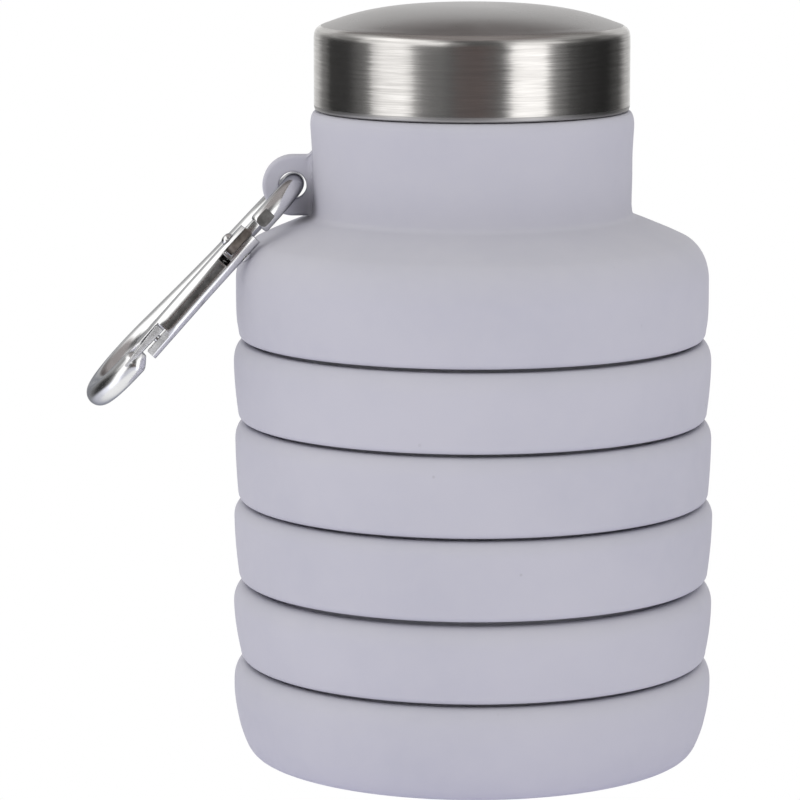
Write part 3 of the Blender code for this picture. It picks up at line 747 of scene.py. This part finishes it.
END = run[-1]
stops = [0.0, 0.03, 0.09, 0.18, 0.3, 0.45, 0.65] + [1.2 + 0.7 * i for i in range(int((END - 4.4) / 0.7))]
stops += [END - d for d in (2.9, 2.4, 1.9, 1.5, 1.1, 0.75, 0.45, 0.2, 0.06, 0.0)]
sections = []
for d in stops:
    p = along(d)
    t = (along(d + 0.15) - along(d - 0.15)).normalized()
    u = Vector((-t.y, t.x, 0))
    r = 1.66 + 0.26 * min(max((d - END * 0.5) / (END * 0.3), 0), 1)
    if d < 0.65:
        r -= 0.3 * (1 - math.sqrt(max(0.0, 1 - (1 - d / 0.65) ** 2)))
    if END - d < 1.8:
        r -= 1.25 * (1 - (END - d) / 1.8) ** 1.25
    sections.append([p + u * (r * math.cos(q)) + Vector((0, 0, 1)) * (r * math.sin(q)) for q in [TAU * i / 36 for i in range(36)]])
rod = skin(sections)
# a flat pressed beside the rod's end, where the tongue was formed; its face is left unpolished, and its dark colour is
# a painted dark reflection
slant = Matrix.Translation((4.3, -10.33, 0)) @ Matrix.Rotation(math.radians(-15.5), 4, "Z")
rod = carve(rod, [(skin([[slant @ Vector(q) for q in ((0, -2, z), (3.6, -2, z), (3.6, 0, z), (0, 0, z))]
                         for z in (-1.5, 1.5)]), "DIFFERENCE")])
facing = (slant.to_3x3() @ Vector((0, -1, 0))).normalized()
bmesh.ops.recalc_face_normals(rod, faces=rod.faces)
# painted dark reflection: the flat's face gets the dark unpolished metal
for f in rod.faces:
    c = f.calc_center_median()
    if f.normal.dot(facing) > 0.9995 and 4.2 < c.x < 7.3 and c.y < 0:
        f.material_index = 3

gate_dir = (leg(30, -1) - leg(10, -1)).normalized()
gate_out = Vector((gate_dir.y, -gate_dir.x, 0))
P = leg(PIVOT, -1) + gate_out * 0.3
TO_HOOK = Matrix(((gate_dir.x, -gate_out.x, 0, P.x), (gate_dir.y, -gate_out.y, 0, P.y), (0, 0, 1, 0), (0, 0, 0, 1)))
GATE = HOOK @ TO_HOOK                                        # x along the gate, y to the spine, z across
L = LATCH - PIVOT


def hung(bm, local=None):
    """Brings a piece from the hook's or the gate's own frame to its place."""
    if local:
        bmesh.ops.transform(bm, matrix=local, verts=bm.verts)
    twisted(bm)
    bmesh.ops.transform(bm, matrix=HOOK, verts=bm.verts)
    return bm


outline = [(-5.0, 1.1), (-5.0, -1.15)] + [(1.45 * math.cos(t), 1.45 * math.sin(t)) for t in
                                           [math.radians(-128 + 16 * i) for i in range(17)]]
pivot_tongue = carve(plate(outline, -1.14, 0.12), [(bar(0.78, 4.0), "DIFFERENCE")], 0.1, 2, 50)
outline = [(L + 6.4, -1.1), (L + 6.4, 1.1), (L + 1.15, 1.1), (L + 1.0, 0.95), (L + 1.0, -0.55), (L - 0.9, -0.55),
           (L - 0.9, 0.3), (L - 1.3, 0.3), (L - 1.7, -0.1), (L - 1.7, -0.75), (L - 1.45, -1.1)]
nose_tongue = plate(outline, -1.42, -0.12)
for v in nose_tongue.verts:                                  # its root narrows to a point inside the nose
    if v.co.x > L + 6.0:
        v.co.z = -0.77 + (v.co.z + 0.77) * 0.3
nose_tongue = carve(nose_tongue, [], 0.1, 2, 30)
bmesh.ops.bisect_plane(pivot_tongue, geom=pivot_tongue.verts[:] + pivot_tongue.edges[:] + pivot_tongue.faces[:],
                       plane_co=(-3.26, 0, 0), plane_no=(1, 0, 0))
for f in pivot_tongue.faces:
    f.material_index = 1 if f.calc_center_median().x > -3.26 else 0
for f in nose_tongue.faces:
    f.material_index = 2
for bm in (pivot_tongue, nose_tongue):
    bmesh.ops.transform(bm, matrix=TO_HOOK, verts=bm.verts)
piece("hook_frame", hung(merged(rod, pivot_tongue, nose_tongue)), [POLISHED, TONGUE, WORN, UNPOLISHED_PAINTED_DARK], "hook", ["carabiner_frame"],
      sharp=50)

# gate: a rounded bar with a slot at each end, a groove along its face and a bore for its spring
x0, x1 = 8.83 - PIVOT, 32.76 - PIVOT
HALF_W, Y_OUT, Y_IN = 1.97, -1.55, 1.75


def gate_section(n=44, power=2.6):
    mid, ry = (Y_OUT + Y_IN) / 2, (Y_IN - Y_OUT) / 2
    out = []
    for i in range(n):
        t = TAU * (i + 0.5) / n
        c, s = math.cos(t), math.sin(t)
        out.append((mid + ry * math.copysign(abs(s) ** (2 / power), s), HALF_W * math.copysign(abs(c) ** (2 / power), c)))
    return out


bm = skin([[(x, y, z) for y, z in gate_section()] for x in (x0, x0 + 6, x0 + 12, x0 + 18, x1)])
turn_x = Matrix.Rotation(math.radians(90), 4, "Y")
flat_y = Matrix.Rotation(math.radians(90), 4, "X")
cuts = [
    (brick((x0 - 1, -3, -1.22), (1.62, 3, 0.2)), "DIFFERENCE"),
    (brick((1.5, -3, -0.98), (2.2, Y_OUT + 0.5, 0.42)), "DIFFERENCE"),
    (brick((2.05, -3, -1.1), (3.08, Y_OUT + 2.2, 0.63)), "DIFFERENCE"),
    (brick((3.36, -3, -0.43), (16.2, Y_OUT + 0.6, 0.45)), "DIFFERENCE"),
    (bar(0.8, 2.0, Matrix.Translation((17.3, Y_OUT - 0.45, -0.76)) @ flat_y, 28), "DIFFERENCE"),
    (bar(0.8, 2.0, Matrix.Translation((17.3, Y_OUT - 0.45, 0.42)) @ flat_y, 28), "DIFFERENCE"),
    (brick((16.5, -3, -0.76), (x1 + 1, Y_OUT + 0.55, 0.42)), "DIFFERENCE"),
    (brick((17.3, -3, -1.55), (x1 + 1, Y_OUT + 0.552, 1.2)), "DIFFERENCE"),
    (brick((L - 1.95, -3, -1.5), (x1 + 1, 3, 0.3)), "DIFFERENCE"),
    (bar(0.85, 6.0, Matrix.Translation((5.0, 0.42, 0)) @ turn_x, 20), "DIFFERENCE"),
    (bar(0.78, 8.0, Matrix.Identity(4), 24), "DIFFERENCE"),
    (bar(0.72, 8.0, Matrix.Translation((L, 0.35, 0)), 24), "DIFFERENCE"),
]
bm = carve(bm, cuts, 0.12, 2, 42)


def inside_gate(c, n):
    """The groove's floor and the notch are left unpolished, their dark colour a painted shade; the free end is worn."""
    depth = abs((c.y - (Y_OUT + Y_IN) / 2) / ((Y_IN - Y_OUT) / 2)) ** 2.6 + abs(c.z / HALF_W) ** 2.6
    if depth > 0.86:
        return 0
    if c.x > 16.3:
        return 2
    return 1 if c.x > 2.0 else 0


bmesh.ops.recalc_face_normals(bm, faces=bm.faces)
for f in bm.faces:
    f.material_index = inside_gate(f.calc_center_median(), f.normal)
piece("hook_gate", hung(bm, TO_HOOK), [POLISHED, UNPOLISHED_PAINTED_DARK, WORN], "gate", ["carabiner_gate"], sharp=40)


def pin(shaft, head, half, low, high):
    """A pin with a domed head at each end, low and high tall."""
    def half_turn(sign, tall):
        return [(0, sign * (half + tall)), (head * 0.45, sign * (half + tall * 0.95)), (head * 0.76, sign * (half + tall * 0.76)),
                (head * 0.95, sign * (half + tall * 0.4)), (head, sign * (half + 0.04)), (head * 0.95, sign * half),
                (shaft, sign * half)]
    return lathe(half_turn(-1, high) + half_turn(1, low)[::-1], 36, closed=False)


piece("hook_gate_pivot_pin", hung(pin(0.62, 1.0, HALF_W - 0.06, 0.5, 0.86), TO_HOOK), [POLISHED], "hook",
      ["gate_pivot_pin"])

bm = lathe([(0, -1.86), (0.5, -1.86), (0.62, -1.76), (0.62, 1.76), (0.5, 1.86), (0, 1.86)], 28, closed=False)
piece("hook_gate_latch_pin", hung(bm, TO_HOOK @ Matrix.Translation((L, 0.35, 0))), [POLISHED], "gate",
      ["gate_latch_pin"])

sections = []
for i in range(6 * 24 + 1):
    a = TAU * i / 24
    out = Vector((0, math.cos(a), math.sin(a)))
    mid = Vector((2.3 + 5.2 * i / (6 * 24), 0.42, 0)) + out * 0.5
    sections.append([mid + out * (0.16 * math.cos(t)) + Vector((0.16 * math.sin(t), 0, 0)) for t in [TAU * k / 8 for k in range(8)]])
piece("hook_gate_spring", hung(skin(sections), TO_HOOK), [POLISHED], "gate", ["gate_spring"])


# ------------------------------------------------------------------ floor, light and camera
def floor_material():
    """A pale floor: it burns out to plain white for the viewer, and gives the bottle its soft light from below."""
    m = Nodes("floor_pale")
    cloud = m.noise(3.0, 2.0, 0.5)
    base = m.mix(m.span(cloud, 0.3, 0.7, 0.0, 1.0), (0.815, 0.815, 0.815), (0.825, 0.825, 0.825))
    m.done(base, 0.9, None, Specular_IOR_Level=0.0, Emission_Color=(0.26, 0.255, 0.36, 1), Emission_Strength=1.0)
    white = m.add("ShaderNodeEmission")
    white.inputs["Color"].default_value = (1.0, 1.0, 1.0, 1.0)
    rays = m.add("ShaderNodeLightPath")
    both = m.add("ShaderNodeMixShader")
    m.wire(rays.outputs["Is Camera Ray"], both.inputs[0])
    m.wire(m.bsdf.outputs[0], both.inputs[1])
    m.wire(white.outputs[0], both.inputs[2])
    m.wire(both.outputs[0], m.tree.nodes["Material Output"].inputs["Surface"])
    return m.mat


bm = bmesh.new()
bmesh.ops.create_grid(bm, x_segments=8, y_segments=8, size=9.0)
me = bpy.data.meshes.new("floor")
bm.to_mesh(me)
bm.free()
me.materials.append(floor_material())
floor = link("floor", me)
floor.visible_glossy = False

world = bpy.data.worlds.new("studio")
bpy.context.scene.world = world
world.use_nodes = True
world.cycles.sampling_method = "NONE"
wt = world.node_tree
wt.nodes.clear()


def wn(kind, **props):
    n = wt.nodes.new(kind)
    for k, v in props.items():
        setattr(n, k, v)
    return n


def wm(op, a, b=None, clamp=False):
    n = wn("ShaderNodeMath", operation=op, use_clamp=clamp)
    for i, v in enumerate((a, b)):
        if v is None:
            continue
        if isinstance(v, (int, float)):
            n.inputs[i].default_value = v
        else:
            wt.links.new(v, n.inputs[i])
    return n.outputs[0]


coord = wn("ShaderNodeTexCoord")
axis = wn("ShaderNodeSeparateXYZ")
wt.links.new(coord.outputs["Generated"], axis.inputs[0])
X, Y, Z = axis.outputs


def wspan(value, a, b, c, d):
    n = wn("ShaderNodeMapRange", interpolation_type="SMOOTHSTEP")
    for key, v in (("From Min", a), ("From Max", b), ("To Min", c), ("To Max", d)):
        n.inputs[key].default_value = v
    wt.links.new(value, n.inputs["Value"])
    return n.outputs["Result"]


def wmix(fac, a, b):
    n = wn("ShaderNodeMix", data_type="RGBA")
    wt.links.new(fac, n.inputs[0])
    for i, v in ((6, a), (7, b)):
        if isinstance(v, tuple):
            n.inputs[i].default_value = (*v, 1.0)
        else:
            wt.links.new(v, n.inputs[i])
    return n.outputs[2]


def around(stops, tint=(1.0, 0.995, 0.985)):
    """Light levels round the horizon: (degrees from the front, positive to the right; level; warmth if any)."""
    n = wn("ShaderNodeValToRGB")
    cr = n.color_ramp
    cr.interpolation = "EASE"
    while len(cr.elements) > 1:
        cr.elements.remove(cr.elements[-1])
    for i, (deg, level, *warm) in enumerate(stops):
        e = cr.elements[0] if i == 0 else cr.elements.new(deg / 360 + 0.5)
        e.position = deg / 360 + 0.5
        w = warm[0] if warm else 0.0
        e.color = (level * tint[0] * (1 + w), level * tint[1] * (1 - w), level * tint[2] * (1 - 1.4 * w), 1.0)
    wt.links.new(turn, n.inputs[0])
    return n.outputs["Color"]


# glossy surfaces see a studio: two windows, a dim room in front, dark flags at the sides, a bright back wall,
# a wide soft box high on the left, and the pale table below
turn = wm("ADD", wm("DIVIDE", wm("ARCTAN2", X, wm("MULTIPLY", Y, -1.0)), TAU), 0.5)
level_view = around([(-180, 0.95), (-154, 0.66), (-137, 0.22), (-124, 0.04), (-104, 0.035), (-88, 0.12),
                     (-82, 0.22), (-76, 0.95), (-68, 1.3), (-52, 1.38), (-47, 1.1), (-42, 0.4), (-36, 0.17), (-28, 0.105),
                     (-18, 0.09), (-8, 0.1, 0.1), (4, 0.105, 0.12), (14, 0.115, 0.06), (21, 0.16), (25, 0.5), (29.5, 1.4),
                     (36, 1.55), (53, 1.5), (57.5, 0.6), (62, 0.26), (68, 0.16), (76, 0.065), (88, 0.035), (112, 0.02),
                     (130, 0.08), (151, 0.57), (180, 0.95)])
table_view = around([(-180, 0.75), (-120, 0.7), (-95, 0.9), (-75, 1.25), (-58, 1.25), (-38, 0.6), (0, 0.65), (20, 0.75),
                     (30, 1.2), (45, 1.5), (60, 1.0), (78, 0.5), (105, 0.35), (150, 0.5), (180, 0.75)],
                    (0.97, 0.98, 1.07))
upper_view = around([(-180, 0.66), (-155, 0.78), (-130, 0.45), (-112, 0.3), (-98, 0.35), (-88, 0.9), (-65, 1.3), (-24, 1.3),
                     (-14, 0.35), (0, 0.12), (20, 0.14), (28, 0.7), (33, 1.2), (50, 1.3), (62, 0.95), (76, 0.3), (95, 0.12),
                     (125, 0.22), (150, 0.72), (180, 0.66)])
high_view = around([(-180, 0.13, 0.06), (-155, 0.22, 0.03), (-130, 0.5), (-110, 0.88), (-88, 1.32), (-70, 1.5), (-42, 1.2), (-26, 0.5),
                    (-10, 0.12), (15, 0.15), (30, 0.5), (45, 0.75), (60, 0.7), (90, 0.5), (130, 0.45), (155, 0.22, 0.03),
                    (180, 0.13, 0.06)])


def sine(deg):
    return math.sin(math.radians(deg))


glossy = wmix(wspan(Z, sine(-58), sine(-42), 0.0, 1.0), (0.9, 0.9, 0.9), table_view)
glossy = wmix(wspan(Z, sine(-32), sine(-17), 0.0, 1.0), glossy, level_view)
glossy = wmix(wspan(Z, sine(3), sine(15), 0.0, 1.0), glossy, upper_view)
glossy = wmix(wspan(Z, sine(26), sine(38), 0.0, 1.0), glossy, high_view)
glossy = wmix(wspan(Z, sine(48), sine(62), 0.0, 1.0), glossy, (0.33, 0.305, 0.3))
# matt surfaces see a soft white tent, brighter overhead and to the left
soft = wspan(Z, 0.0, 0.55, 0.83, 1.09)
side = wm("ADD", wm("MULTIPLY", X, -0.16), wm("MULTIPLY", Y, -0.05))
soft = wm("MULTIPLY", soft, wm("ADD", side, 1.0))
tone = wn("ShaderNodeCombineColor")
for i, k in enumerate((1.0, 1.005, 0.957)):
    wt.links.new(wm("MULTIPLY", soft, k), tone.inputs[i])
rays = wn("ShaderNodeLightPath")
seen = wmix(rays.outputs["Is Glossy Ray"], tone.outputs[0], glossy)
seen = wmix(rays.outputs["Is Camera Ray"], seen, (1.0, 1.0, 1.0))
back = wn("ShaderNodeBackground")
wt.links.new(seen, back.inputs["Color"])
back.inputs["Strength"].default_value = 1.0
out = wn("ShaderNodeOutputWorld")
wt.links.new(back.outputs[0], out.inputs["Surface"])

camera = bpy.data.cameras.new("camera")
camera.sensor_width = 36.0
camera.lens = 185.93
camera.clip_start = 0.05
camera.clip_end = 60.0
cam = bpy.data.objects.new("camera", camera)
bpy.context.scene.collection.objects.link(cam)
cam.location = (-0.0111, -0.63801, 0.157985)
cam.rotation_euler = (math.pi / 2 - 0.158, 0, 0)
bpy.context.scene.camera = cam
bpy.context.scene.view_settings.view_transform = "Standard"
bpy.context.scene.view_settings.look = "None"
